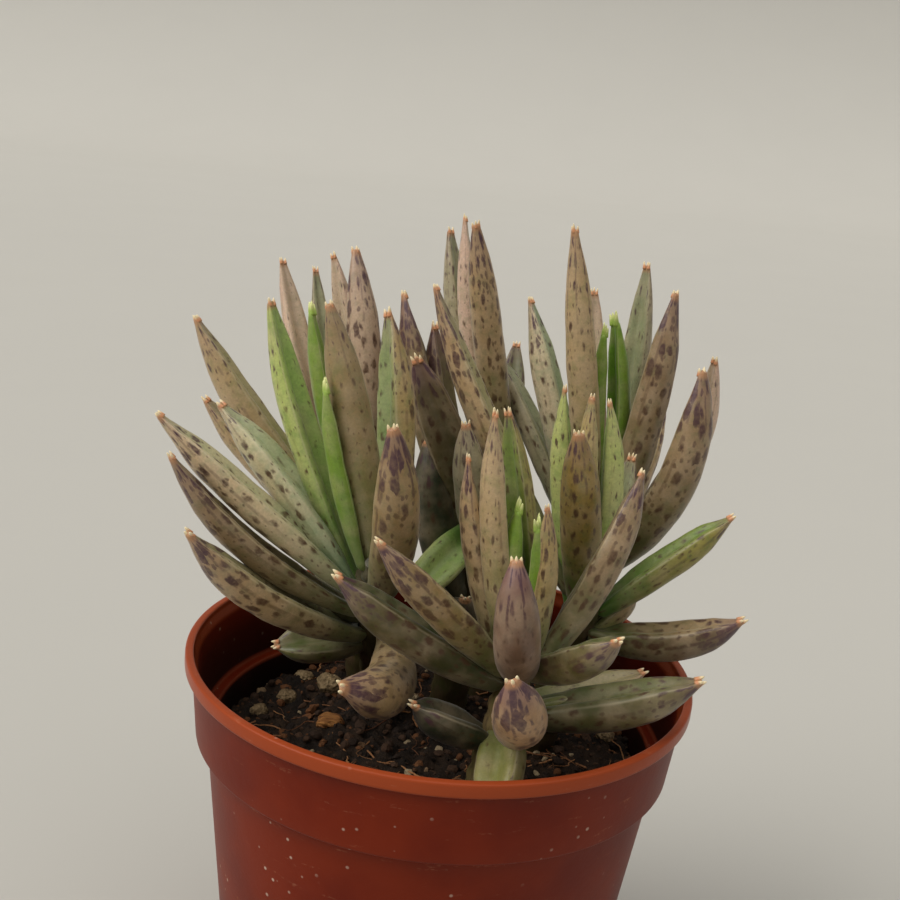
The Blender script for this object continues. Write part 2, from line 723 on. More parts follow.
def finer(outline, step):
    """Adds points so that no stretch of a run is longer than the step."""
    full = []
    for a, b in zip(outline, outline[1:]):
        start, end = Vector(a), Vector(b)
        count = max(1, math.ceil((end - start).length / step))
        full.extend(tuple(start.lerp(end, i / count)) for i in range(count))
    return [*full, outline[-1]]


def applied(piece):
    """Bakes a piece's modifiers into its mesh and removes them."""
    depsgraph = bpy.context.evaluated_depsgraph_get()
    mesh = bpy.data.meshes.new_from_object(piece.evaluated_get(depsgraph), depsgraph=depsgraph)
    piece.modifiers.clear()
    piece.data = mesh
    return piece


def lump(x, y):
    """Height of the soil's lumps over a place, in millimetres."""
    broad = math.sin(0.31 * x + 0.4) * math.cos(0.27 * y - 0.9)
    small = math.sin(1.3 * x + 0.7 * y) * math.cos(1.1 * y - 0.5 * x)
    return SOIL_LUMP * (0.6 * broad + 0.5 * small)


def rough_height(x, y):
    """Finer crumbs of the soil's top, in millimetres."""
    place = Vector((x, y, 0))
    clods = noise.fractal(place * 0.45, 0.9, 2.0, 4)
    grains = noise.noise(place * 2.1)
    return 0.75 * clods + 0.22 * grains


def over_rim(x, y, z):
    return Vector((x, y, z + POT_H))


def on_stem(shoot, height):
    """The middle of a shoot's stem at a height over the rim."""
    foot, crown = shoot["foot"], shoot["crown"]
    along = (height + SOIL_DEPTH) / (crown[2] + SOIL_DEPTH)
    x, y = [start + (end - start) * along for start, end in zip(foot, crown)]
    return over_rim(x, y, height)


# Growing with geometry nodes


def new_tree(name, inputs):
    """A geometry node tree with a mesh and the named inputs coming in."""
    tree = bpy.data.node_groups.new(name, "GeometryNodeTree")
    tree.interface.new_socket("Mesh", in_out="INPUT", socket_type="NodeSocketGeometry")
    tree.interface.new_socket("Mesh", in_out="OUTPUT", socket_type="NodeSocketGeometry")
    for label, kind in inputs.items():
        tree.interface.new_socket(label, in_out="INPUT", socket_type="NodeSocket" + kind)
    entry = tree.nodes.new("NodeGroupInput")
    return tree, {socket.name: Field(tree, socket) for socket in entry.outputs if socket.name}


def close_tree(tree, result):
    leaving = tree.nodes.new("NodeGroupOutput")
    feed(tree, leaving.inputs["Mesh"], result)
    arrange(tree)
    return tree


def grow(name, base, tree, values):
    """Runs a geometry node tree over a base mesh and returns the plain result."""
    seedling = bpy.data.objects.new(name + "_base", base)
    bpy.context.scene.collection.objects.link(seedling)
    modifier = seedling.modifiers.new("Grow", "NODES")
    modifier.node_group = tree
    for item in tree.interface.items_tree:
        if item.item_type == "SOCKET" and item.in_out == "INPUT" and item.name in values:
            modifier[item.identifier] = values[item.name]
    depsgraph = bpy.context.evaluated_depsgraph_get()
    grown = seedling.evaluated_get(depsgraph)
    mesh = bpy.data.meshes.new_from_object(
        grown, preserve_all_data_layers=True, depsgraph=depsgraph
    )
    seedling.modifiers.clear()
    bpy.data.objects.remove(seedling)
    if not mesh.polygons:
        raise RuntimeError(name + " grew no faces")
    mesh.name = name
    return new_piece(name, mesh)


def named(tree, name, kind="FLOAT_VECTOR"):
    return out(add_node(tree, "GeometryNodeInputNamedAttribute", {"Name": name}, data_type=kind))


def stored(tree, geometry, name, value, kind="FLOAT"):
    node = add_node(
        tree,
        "GeometryNodeStoreNamedAttribute",
        {"Geometry": geometry, "Name": name, "Value": value},
        data_type=kind,
        domain="POINT",
    )
    return out(node)


def moved(tree, geometry, **inputs):
    names = {key.capitalize(): value for key, value in inputs.items()}
    return out(add_node(tree, "GeometryNodeSetPosition", {"Geometry": geometry, **names}))


def position(tree):
    return out(add_node(tree, "GeometryNodeInputPosition"))


def random_number(tree, low, high, seed):
    inputs = {"Min": low, "Max": high, "Seed": seed}
    kind = "FLOAT_VECTOR" if isinstance(low, tuple) else "FLOAT"
    return out(add_node(tree, "FunctionNodeRandomValue", inputs, data_type=kind))


def realized(tree, points, shape, **inputs):
    """Copies of a shape on points, made real."""
    names = {key.capitalize(): value for key, value in inputs.items()}
    node = add_node(
        tree, "GeometryNodeInstanceOnPoints", {"Points": points, "Instance": shape, **names}
    )
    return out(add_node(tree, "GeometryNodeRealizeInstances", {"Geometry": out(node)}))


def blank(tree, sides, rings):
    """A flat sheet that is rolled up later: around and reach run over it from 0 to 1."""
    inputs = {"Size X": 1.0, "Size Y": 1.0, "Vertices X": sides + 1, "Vertices Y": rings + 1}
    sheet = out(add_node(tree, "GeometryNodeMeshGrid", inputs), "Mesh")
    place = position(tree)
    sheet = stored(tree, sheet, "around", place.axis("X") + 0.5)
    return stored(tree, sheet, "reach", place.axis("Y") + 0.5)


def closed(tree, sheet, material):
    """Welds a rolled sheet shut, smooths it and gives it its material."""
    shape = out(
        add_node(tree, "GeometryNodeMergeByDistance", {"Geometry": sheet, "Distance": 1e-6})
    )
    shape = out(add_node(tree, "GeometryNodeSetShadeSmooth", {"Geometry": shape}))
    return out(
        add_node(tree, "GeometryNodeSetMaterial", {"Geometry": shape, "Material": material})
    )


def leaf_lines(tree, along):
    """A leaf's middle line at a share of its length, and its three directions."""
    root, bend, tip = [named(tree, n) for n in ("root", "bend", "tip")]
    rest = 1 - along
    place = root * (rest * rest) + bend * (rest * along * 2) + tip * (along * along)
    forward = ((bend - root) * rest + (tip - bend) * along).vector("NORMALIZE")
    side = named(tree, "channel_side")
    lean = side.vector("DOT_PRODUCT", forward)
    channel = (side - forward * lean).vector("NORMALIZE")
    return place, forward, channel.vector("CROSS_PRODUCT", forward), channel


def blade(tree, points, given):
    """The boat-shaped leaf blade: a sheet rolled round the leaf's middle line."""
    sheet = realized(tree, points, blank(tree, given["Sides"], given["Rings"]))
    around, reach = [named(tree, n, "FLOAT") for n in ("around", "reach")]
    along = (reach * 1.14).least(1.0)
    cap = (reach - 1 / 1.14).most(0.0) * (math.pi / 2 / (1 - 1 / 1.14))
    place, forward, across, channel = leaf_lines(tree, along)

    swell = (along * (1 / WIDEST)).least(1.0) * (math.pi / 2)
    narrowing = ((along - WIDEST) * (1 / (1 - WIDEST))).most(0.0) ** TAPER
    share = swell.math("SINE") * (1 - BASE_WIDTH) + BASE_WIDTH - narrowing * (1 - given["Tip width"])
    half = share * named(tree, "half_width", "FLOAT")
    half = half * (reach * 40).least(1.0) * cap.math("COSINE")
    opening = ((along - 0.02) * (1 / 0.3)).most(0.0).least(1.0) * 0.65 + 0.35
    closing = 1 - ((along - 0.85) * (1 / 0.15)).most(0.0) * 0.55
    keel = half * KEEL * (1 - ((along - 0.8) * 5).most(0.0) * 0.25)
    crest = half * (opening * closing * MARGIN_RISE + 0.03)
    valley = half * opening * CHANNEL

    angle = around * (2 * math.pi)
    side, facing = angle.math("COSINE"), angle.math("SINE")
    edge = side.math("ABSOLUTE")
    fall = ((edge - 0.6) * 2.5).most(0.0)
    top = (valley + (crest - valley) * edge.ramp(0.0, 0.6)) * ((1 - fall**3.0) ** (1 / 3))
    above = facing.math("GREATER_THAN", 0.0)
    height = top * above + keel * facing * (1 - above)
    length = named(tree, "tip").vector("DISTANCE", named(tree, "root")) * 1000

    sheet = stored(tree, sheet, "along", along)
    sheet = stored(tree, sheet, "tooth", along * 0)
    turn = join_axes(tree, side, facing, along * length)
    sheet = stored(tree, sheet, "turn", turn, "FLOAT_VECTOR")
    dome = forward * (cap.math("SINE") * named(tree, "half_width", "FLOAT") * 0.16)
    final = place + across * (side * half) + channel * height + dome
    sheet = moved(tree, sheet, position=final)
    normal = out(add_node(tree, "GeometryNodeInputNormal"))
    swelling = noise_field(tree, position(tree), 170, 2.0) - 0.5
    sheet = moved(tree, sheet, offset=normal * (swelling * given["Lumps"]))
    return closed(tree, sheet, given["Leaf"])


def teeth(tree, points, given):
    """The pointed teeth that stand side by side across a leaf's blunt tip."""
    copies = add_node(
        tree,
        "GeometryNodeDuplicateElements",
        {"Geometry": points, "Amount": given["Teeth"]},
        domain="POINT",
    )
    last = (given["Teeth"] - 1) * 0.5
    number = (out(copies, "Duplicate Index") - last).math("DIVIDE", last)
    bases = stored(tree, out(copies), "lean", number)
    luck = random_number(tree, 0.78, 1.22, given["Seed"])
    bases = stored(tree, bases, "luck", luck)
    sheet = realized(tree, bases, blank(tree, 12, 8))
    around, reach, lean, luck = [
        named(tree, n, "FLOAT") for n in ("around", "reach", "lean", "luck")
    ]
    place, forward, across, channel = leaf_lines(tree, reach * 0 + 1.0)
    half = named(tree, "half_width", "FLOAT") * given["Tip width"]
    outward_lean = lean.math("ABSOLUTE")
    foot = place + across * (lean * half * 0.6) + channel * (half * (outward_lean * 0.5 - 0.38))
    length = given["Tooth length"] * luck * (1.2 - outward_lean * 0.2)
    rise = reach * (length + half * 0.6) - half * 0.6
    sway = lean * given["Spread"] * (reach * reach * 0.6 + reach * 0.4) * length
    radius = half * 0.5 * ((1 - reach).most(0.0) ** 0.55) * (reach * 12).least(1.0)
    angle = around * (2 * math.pi)
    ring = across * (angle.math("COSINE") * radius) + channel * (angle.math("SINE") * radius)
    sheet = stored(tree, sheet, "tooth", reach.ramp(0.1, 1.0, 0.05, 1.0))
    sheet = stored(tree, sheet, "along", reach * 0 + 1.0)
    final = foot + forward * rise + across * sway + ring
    return closed(tree, moved(tree, sheet, position=final), given["Leaf"])


def stem(tree, mesh, given):
    """A tapering stem along the base mesh's one edge, roughened a little."""
    line = out(add_node(tree, "GeometryNodeMeshToCurve", {"Mesh": mesh}))
    line = out(add_node(tree, "GeometryNodeResampleCurve", {"Curve": line, "Count": 40}))
    share = out(add_node(tree, "GeometryNodeSplineParameter"), "Factor")
    radius = given["Foot radius"] * (1 - share) + given["Crown radius"] * share
    ring = out(
        add_node(tree, "GeometryNodeCurvePrimitiveCircle", {"Resolution": 28, "Radius": 1.0})
    )
    tube = add_node(
        tree,
        "GeometryNodeCurveToMesh",
        {"Curve": line, "Profile Curve": ring, "Scale": radius, "Fill Caps": True},
    )
    normal = out(add_node(tree, "GeometryNodeInputNormal"))
    rough = noise_field(tree, position(tree), 420, 3.0) - 0.5
    rings = (position(tree).axis("Z") * 1900).math("SINE") * 0.15
    tube = moved(tree, out(tube), offset=normal * ((rough + rings) * given["Lumps"] * 2))
    return closed(tree, tube, given["Stem"])


def shoot_tree():
    tree, given = new_tree(
        "Leaves on a stem",
        {
            "Sides": "Int",
            "Rings": "Int",
            "Teeth": "Int",
            "Tooth length": "Float",
            "Spread": "Float",
            "Lumps": "Float",
            "Tip width": "Float",
            "Foot radius": "Float",
            "Crown radius": "Float",
            "Seed": "Int",
            "Leaf": "Material",
            "Stem": "Material",
        },
    )
    on_leaf = named(tree, "half_width", "FLOAT").math("GREATER_THAN", 0.0)
    split = add_node(
        tree,
        "GeometryNodeSeparateGeometry",
        {"Geometry": given["Mesh"], "Selection": on_leaf},
        domain="POINT",
    )
    points, rest = out(split, "Selection"), out(split, "Inverted")
    parts = [blade(tree, points, given), teeth(tree, points, given), stem(tree, rest, given)]
    join = tree.nodes.new("GeometryNodeJoinGeometry")
    for part in parts:
        feed(tree, join.inputs[0], part)
    return close_tree(tree, out(join))


def leaf_path(shoot, leaf, offset):
    """A leaf's root, bend and tip, and the side its channel faces, in millimetres."""
    tip, height, side, _, bow, _, *twist = leaf
    back = Vector((math.cos(math.radians(side)), math.sin(math.radians(side)), 0))
    root = on_stem(shoot, height) + back * offset
    end = over_rim(*tip)
    chord = end - root
    along = chord.normalized()
    down = back - UP
    down = (down - along * down.dot(along)).normalized()
    bend = (root + end) / 2 + down * (2 * bow * chord.length)
    down.rotate(Quaternion(along, math.radians(sum(twist))))
    return root, bend, end, -down


def shoot_base(name, shoot, leaves, ends, offset):
    """One point for each leaf with its shape and look, and one edge for the stem."""
    mesh = bpy.data.meshes.new(name)
    places = [Vector((0, 0, 0))] * len(leaves) + list(ends)
    count = len(leaves)
    mesh.from_pydata([tuple(p * MM) for p in places], [(count, count + 1)], [])
    rows = {key: [] for key in ("root", "bend", "tip", "channel_side", "look")}
    rows |= {key: [] for key in ("outer", "inner", "foot")}
    widths = []
    for number, leaf in enumerate(leaves):
        root, bend, tip, side = leaf_path(shoot, leaf, offset)
        outer, inner, foot, spots, streaks = LOOKS[leaf[5]]
        rows["root"] += [c * MM for c in root]
        rows["bend"] += [c * MM for c in bend]
        rows["tip"] += [c * MM for c in tip]
        rows["channel_side"] += list(side)
        rows["look"] += (spots, streaks, 1.0 + 1.7 * number)
        for key, code in zip(("outer", "inner", "foot"), (outer, inner, foot)):
            rows[key] += paint(code)[:3]
        widths.append(leaf[3] / 2 * MM)
    for key, values in rows.items():
        column = mesh.attributes.new(key, "FLOAT_VECTOR", "POINT")
        column.data.foreach_set("vector", [*values, *[0.0] * 6])
    column = mesh.attributes.new("half_width", "FLOAT", "POINT")
    column.data.foreach_set("value", [*widths, 0.0, 0.0])
    return mesh


def drop_columns(mesh, names):
    """Takes off the attributes that only the growing needed."""
    for name in names:
        if name in mesh.attributes:
            mesh.attributes.remove(mesh.attributes[name])


GROWING_ONLY = (
    "root",
    "bend",
    "tip",
    "channel_side",
    "half_width",
    "around",
    "reach",
    "lean",
    "luck",
)


def crumb_tree():
    tree, given = new_tree(
        "Crumbs on the soil",
        {
            "Density": "Float",
            "Spacing": "Float",
            "Smallest": "Float",
            "Largest": "Float",
            "Seed": "Int",
            "Material": "Material",
        },
    )
    points = add_node(
        tree,
        "GeometryNodeDistributePointsOnFaces",
        {
            "Mesh": given["Mesh"],
            "Distance Min": given["Spacing"],
            "Density Max": given["Density"],
            "Seed": given["Seed"],
        },
        distribute_method="POISSON",
    )
    points = stored(tree, out(points), "shade", random_number(tree, 0.0, 1.0, given["Seed"] + 5))
    size = random_number(tree, 0.0, 1.0, given["Seed"] + 1) ** 2.6
    size = given["Smallest"] + (given["Largest"] - given["Smallest"]) * size
    squash = random_number(tree, (0.7, 0.6, 0.45), (1.2, 1.0, 0.85), given["Seed"] + 2)
    spin = random_number(tree, (-0.5, -0.5, 0.0), (0.5, 0.5, 6.28), given["Seed"] + 3)
    crumb = out(add_node(tree, "GeometryNodeMeshIcoSphere", {"Radius": 1.0, "Subdivisions": 2}))
    shape = realized(tree, points, crumb, rotation=spin, scale=squash * size)
    ragged = noise_field(tree, position(tree), 1300, 2.0, "Color") - (0.5, 0.5, 0.5)
    shape = moved(tree, shape, offset=ragged * (given["Largest"] * 0.8))
    shape = out(
        add_node(
            tree, "GeometryNodeSetMaterial", {"Geometry": shape, "Material": given["Material"]}
        )
    )
    return close_tree(tree, shape)


def rootlet_tree():
    tree, given = new_tree(
        "Rootlets on the soil",
        {
            "Density": "Float",
            "Length": "Float",
            "Reach": "Float",
            "Thickness": "Float",
            "Seed": "Int",
            "Material": "Material",
        },
    )
    points = add_node(
        tree,
        "GeometryNodeDistributePointsOnFaces",
        {"Mesh": given["Mesh"], "Density": given["Density"], "Seed": given["Seed"]},
        distribute_method="RANDOM",
    )
    points = stored(tree, out(points), "shade", random_number(tree, 0.0, 1.0, given["Seed"] + 5))
    spin = random_number(tree, (-0.12, -0.12, 0.0), (0.12, 0.12, 6.28), given["Seed"] + 1)
    size = random_number(tree, 0.35, 1.0, given["Seed"] + 2)
    line = out(
        add_node(
            tree,
            "GeometryNodeCurvePrimitiveLine",
            {"Start": (-0.5, 0.0, 0.0), "End": (0.5, 0.0, 0.0)},
        )
    )
    line = out(add_node(tree, "GeometryNodeResampleCurve", {"Curve": line, "Count": 18}))
    hairs = realized(tree, points, line, rotation=spin, scale=size * given["Length"])
    wander = noise_field(tree, position(tree), 130, 2.0, "Color") - (0.5, 0.5, 0.42)
    hairs = moved(tree, hairs, offset=wander * 0.011 * (1.0, 1.0, 0.32))
    level = position(tree) * (1.0, 1.0, 0.0)
    beyond = (level.vector("LENGTH") - given["Reach"]).most(0.0)
    hairs = moved(tree, hairs, offset=level.vector("NORMALIZE") * (beyond * -1))
    share = out(add_node(tree, "GeometryNodeSplineParameter"), "Factor")
    ring = out(
        add_node(tree, "GeometryNodeCurvePrimitiveCircle", {"Resolution": 5, "Radius": 1.0})
    )
    tube = add_node(
        tree,
        "GeometryNodeCurveToMesh",
        {
            "Curve": hairs,
            "Profile Curve": ring,
            "Scale": given["Thickness"] * (1.15 - share),
            "Fill Caps": True,
        },
    )
    return close_tree(tree, closed(tree, out(tube), given["Material"]))


# Settings


class PotSettings(bpy.types.PropertyGroup):
    """Sizes of the pot's mesh."""

    sides: IntProperty(name="Sides", description="Faces round the pot", default=240, min=48)
    soften: FloatProperty(
        name="Edge radius",
        description="Rounding of the moulded edges, in millimetres",
        default=0.45,
        min=0.05,
        max=1.0,
    )


class SoilSettings(bpy.types.PropertyGroup):
    """Soil, crumbs, rootlets and stones."""

    rings: IntProperty(name="Rings", description="Rings of the soil's top", default=90, min=12)
    crumb_density: FloatProperty(
        name="Crumb density", description="Crumbs in a square metre", default=900000.0
    )
    crumb_spacing: FloatProperty(
        name="Crumb spacing",
        description="Least distance between crumbs",
        default=0.00135,
        subtype="DISTANCE",
        unit="LENGTH",
        precision=5,
    )
    crumb_largest: FloatProperty(
        name="Largest crumb",
        description="Radius of the largest crumbs",
        default=0.0012,
        subtype="DISTANCE",
        unit="LENGTH",
        precision=5,
    )
    rootlet_length: FloatProperty(
        name="Rootlet length",
        description="Length of the longest rootlets",
        default=0.016,
        subtype="DISTANCE",
        unit="LENGTH",
        precision=4,
    )
    seed: IntProperty(name="Seed", description="Seed of the scattering", default=7)


class LeafSettings(bpy.types.PropertyGroup):
    """Leaf mesh and teeth."""

    sides: IntProperty(name="Sides", description="Faces round a leaf", default=28, min=12)
    rings: IntProperty(name="Rings", description="Faces along a leaf", default=52, min=12)
    teeth: IntProperty(name="Teeth", description="Teeth on an old leaf's tip", default=3, min=2)
    young_teeth: IntProperty(
        name="Young teeth", description="Teeth on a young leaf's tip", default=5, min=2
    )
    tooth_length: FloatProperty(
        name="Tooth length",
        description="Length of an old leaf's teeth",
        default=0.001,
        subtype="DISTANCE",
        unit="LENGTH",
        precision=5,
    )
    young_tooth_length: FloatProperty(
        name="Young tooth length",
        description="Length of a young leaf's teeth",
        default=0.0018,
        subtype="DISTANCE",
        unit="LENGTH",
        precision=5,
    )
    spread: FloatProperty(name="Spread", description="How far teeth lean out", default=0.2)
    lumps: FloatProperty(
        name="Lumps",
        description="Unevenness of the leaf skin",
        default=0.0005,
        subtype="DISTANCE",
        unit="LENGTH",
        precision=5,
    )


class StageSettings(bpy.types.PropertyGroup):
    """Floor, lights and camera."""

    floor_colour: FloatVectorProperty(
        name="Floor colour",
        description="Colour of the floor and backdrop",
        default=paint("#C0BEB7"),
        size=4,
        subtype="COLOR",
        min=0.0,
        max=1.0,
    )
    camera_distance: FloatProperty(
        name="Camera distance",
        description="From the middle of the rim to the camera",
        default=0.22,
        subtype="DISTANCE",
        unit="LENGTH",
    )
    lens: FloatProperty(name="Lens", description="Focal length, in millimetres", default=51.26)


# Operators


class PLANT_OT_pot(bpy.types.Operator):
    """Turns the pot with its ledge, collar and rolled lip, and cuts its drain holes"""

    bl_idname = "plant.pot"
    bl_label = "Pot"

    def execute(self, context):
        settings = context.scene.plant_pot
        inside = BASE_R - WALL
        outline = [
            (0, 0),
            (BASE_R - 0.8, 0),
            (BASE_R, 0.8),
            (BODY_R, POT_H - COLLAR_H),
            (COLLAR_FOOT_R, POT_H - COLLAR_H + 0.6),
            (COLLAR_R, POT_H - LIP_H),
            (LIP_R, POT_H - LIP_H),
            (LIP_R, POT_H),
            (LIP_INNER_R, POT_H),
            (LIP_INNER_R - 0.1, POT_H - 0.8),
            (COLLAR_INNER_R, POT_H - LIP_H),
            (LEDGE_R, POT_H - LEDGE_DEPTH),
            (BODY_INNER_R, POT_H - LEDGE_DEPTH),
            (inside, FLOOR),
            (0, FLOOR),
        ]
        outline = finer(rounded(outline, settings.soften), 3.0)
        mesh = turned("pot_wall", outline, settings.sides)
        pot = new_piece("pot_wall", mesh, pot_material())
        drains = bmesh.new()
        for i in range(DRAIN_HOLES):
            angle = i * 2 * math.pi / DRAIN_HOLES
            place = Vector((math.cos(angle), math.sin(angle), 0)) * DRAIN_CIRCLE_R * MM
            bmesh.ops.create_cone(
                drains,
                cap_ends=True,
                segments=32,
                radius1=DRAIN_R * MM,
                radius2=DRAIN_R * MM,
                depth=4 * FLOOR * MM,
                matrix=Matrix.Translation(place),
            )
        cutter_mesh = bpy.data.meshes.new("drain_cutter")
        drains.to_mesh(cutter_mesh)
        drains.free()
        cutter = new_piece("drain_cutter", cutter_mesh)
        cut = pot.modifiers.new("Drain holes", "BOOLEAN")
        cut.object = cutter
        cut.solver = "EXACT"
        applied(pot)
        bpy.data.objects.remove(cutter)
        settle(pot, ["pot"])
        return {"FINISHED"}


def soil_mesh(rings, sides):
    """The soil: a lumpy top over a tapering body that fills the pot."""
    top = POT_H - SOIL_DEPTH
    slope = (BODY_INNER_R - BASE_R + WALL) / (POT_H - LEDGE_DEPTH - FLOOR)
    low_r = BASE_R - WALL - 0.3
    high_r = low_r + slope * (top - FLOOR)
    outline = [(0, FLOOR + 0.3), (low_r, FLOOR + 0.3)]
    outline += [(high_r * (1 - i / rings), top) for i in range(rings + 1)]
    mesh = turned("soil_bed", outline, sides)
    for vertex in mesh.vertices:
        x, y, z = [c / MM for c in vertex.co]
        if z > top - 0.01:
            sunk = -0.5 * max(0.0, math.hypot(x, y) - high_r + 2)
            vertex.co.z = (z + lump(x, y) + rough_height(x, y) + sunk) * MM
    return mesh


def top_of(mesh, name, lowest):
    """A copy of the faces that lie on top."""
    shape = bmesh.new()
    shape.from_mesh(mesh)
    low = [f for f in shape.faces if f.normal.z < 0.1 or f.calc_center_median().z < lowest]
    bmesh.ops.delete(shape, geom=low, context="FACES")
    top = bpy.data.meshes.new(name)
    shape.to_mesh(top)
    shape.free()
    return top


class PLANT_OT_soil(bpy.types.Operator):
    """Lays the soil in the pot and scatters crumbs and rootlets over it"""

    bl_idname = "plant.soil"
    bl_label = "Soil"

    def execute(self, context):
        settings = context.scene.plant_soil
        mesh = soil_mesh(settings.rings, 200)
        top = top_of(mesh, "soil_top", (POT_H - SOIL_DEPTH - 4) * MM)
        settle(new_piece("soil_bed", mesh, soil_material()), ["soil"])
        crumbs = grow(
            "soil_crumbs",
            top.copy(),
            crumb_tree(),
            {
                "Density": settings.crumb_density,
                "Spacing": settings.crumb_spacing,
                "Smallest": settings.crumb_largest * 0.25,
                "Largest": settings.crumb_largest,
                "Seed": settings.seed,
                "Material": crumb_material(),
            },
        )
        settle(crumbs, [])
        rootlets = grow(
            "rootlets",
            top,
            rootlet_tree(),
            {
                "Density": 22000.0,
                "Length": settings.rootlet_length,
                "Reach": 0.034,
                "Thickness": 0.00016,
                "Seed": settings.seed + 4,
                "Material": rootlet_material(),
            },
        )
        settle(rootlets, [])
        return {"FINISHED"}


def stone_mesh(name, at, radius, flat):
    """A pitted stone with the packed stone's stretch, turn and place."""
    shape = bmesh.new()
    bmesh.ops.create_icosphere(shape, subdivisions=5, radius=radius)
    for vertex in shape.verts:
        p = vertex.co
        rough = 1 + 0.12 * math.sin(3 * p.x / radius + at[0]) * math.cos(4 * p.y / radius + at[1])
        rough += 0.1 * noise.fractal(p * (1.6 / radius), 0.8, 2.0, 5)
        vertex.co = Vector((1.15 * p.x, p.y, flat * p.z)) * rough
    turn = Matrix.Rotation(at[0], 4, "Z")
    foot = over_rim(*at, -SOIL_DEPTH + lump(*at) + 0.35 * radius * flat)
    shape.transform(Matrix.Scale(MM, 4) @ Matrix.Translation(foot) @ turn)
    mesh = bpy.data.meshes.new(name)
    shape.to_mesh(mesh)
    shape.free()
    outward(mesh)
    return mesh


class PLANT_OT_stones(bpy.types.Operator):
    """Sets the pumice stones and the bark chip in the soil"""

    bl_idname = "plant.stones"
    bl_label = "Stones"

    def execute(self, context):
        even = (1.0, 1.0, 1.0)
        pumice = stone_material("pumice grit", paint("#9A8462"), paint("#6E5A3E"), even)
        bark = stone_material("bark fibre", paint("#B07A40"), paint("#6E4222"), (0.4, 1.6, 1.6))
        for node, (at, radius, flat) in STONES.items():
            kind = "bark" if node == "bark" else "pumice"
            mesh = stone_mesh(node + "_chip", at, radius, flat)
            stone = new_piece(node + "_chip", mesh, bark if kind == "bark" else pumice)
            settle(stone, [node])
        return {"FINISHED"}


class PLANT_OT_shoots(bpy.types.Operator):
    """Grows every stem with its thick spotted leaves and their toothed tips"""

    bl_idname = "plant.shoots"
    bl_label = "Shoots"

    def execute(self, context):
        settings = context.scene.plant_leaves
        tree = shoot_tree()
        skin = leaf_material("mottled leaf", paint("#D89468"), paint("#F0DEB4"), paint("#B4845C"))
        old = stem_material("old stem", paint("#3C3A1A"), paint("#4A3C26"))
        fresh = stem_material("fresh stem", paint("#6E6638"), paint("#806C48"))
        for number, (name, shoot) in enumerate(SHOOTS.items()):
            ends = [on_stem(shoot, -SOIL_DEPTH - STEM_ROOT), on_stem(shoot, shoot["crown"][2])]
            base = shoot_base(name, shoot, shoot["leaves"], ends, LEAF_OFFSET)
            piece = grow(
                "leaves_" + name,
                base,
                tree,
                {
                    "Sides": settings.sides,
                    "Rings": settings.rings,
                    "Teeth": settings.teeth,
                    "Tooth length": settings.tooth_length,
                    "Spread": settings.spread,
                    "Lumps": settings.lumps,
                    "Tip width": TIP_WIDTH,
                    "Foot radius": STEM_FOOT_R * MM,
                    "Crown radius": STEM_CROWN_R * MM,
                    "Seed": number,
                    "Leaf": skin,
                    "Stem": fresh if name == "front_right" else old,
                },
            )
            outward(piece.data)
            drop_columns(piece.data, GROWING_ONLY)
            settle(piece, ["shoot_" + name])
        return {"FINISHED"}


class PLANT_OT_young_leaves(bpy.types.Operator):
    """Grows the bright young leaves at the crowns of the shoots"""

    bl_idname = "plant.young_leaves"
    bl_label = "Young leaves"

    def execute(self, context):
        settings = context.scene.plant_leaves
        tree = shoot_tree()
        skin = leaf_material("young leaf", paint("#A8C458"), paint("#E6EAA0"), paint("#94B448"))
        for number, (name, shoot) in enumerate(SHOOTS.items()):
            if not shoot["young"]:
                continue
            crown = shoot["crown"][2]
            ends = [on_stem(shoot, crown + 0.2), on_stem(shoot, crown + 2 * BUD_R)]
            base = shoot_base(name, shoot, shoot["young"], ends, BUD_OFFSET)
            piece = grow(
                "young_" + name,
                base,
                tree,
                {
                    "Sides": settings.sides,
                    "Rings": settings.rings,
                    "Teeth": settings.young_teeth,
                    "Tooth length": settings.young_tooth_length,
                    "Spread": settings.spread * 1.5,
                    "Lumps": settings.lumps * 0.6,
                    "Tip width": YOUNG_TIP_WIDTH,
                    "Foot radius": BUD_R * MM,
                    "Crown radius": BUD_R * 0.6 * MM,
                    "Seed": 20 + number,
                    "Leaf": skin,
                    "Stem": skin,
                },
            )
            outward(piece.data)
            drop_columns(piece.data, GROWING_ONLY)
            settle(piece, ["young_leaves_" + name])
        return {"FINISHED"}


def soft_sun(name, side, strength, spread, colour):
    """A light as wide as an open sky, from the given side."""
    data = bpy.data.lights.new(name, "SUN")
    data.energy = strength
    data.angle = math.radians(spread)
    data.color = colour
    lamp = bpy.data.objects.new(name, data)
    lamp.rotation_euler = (-Vector(side)).to_track_quat("-Z", "Y").to_euler()
    bpy.context.scene.collection.objects.link(lamp)


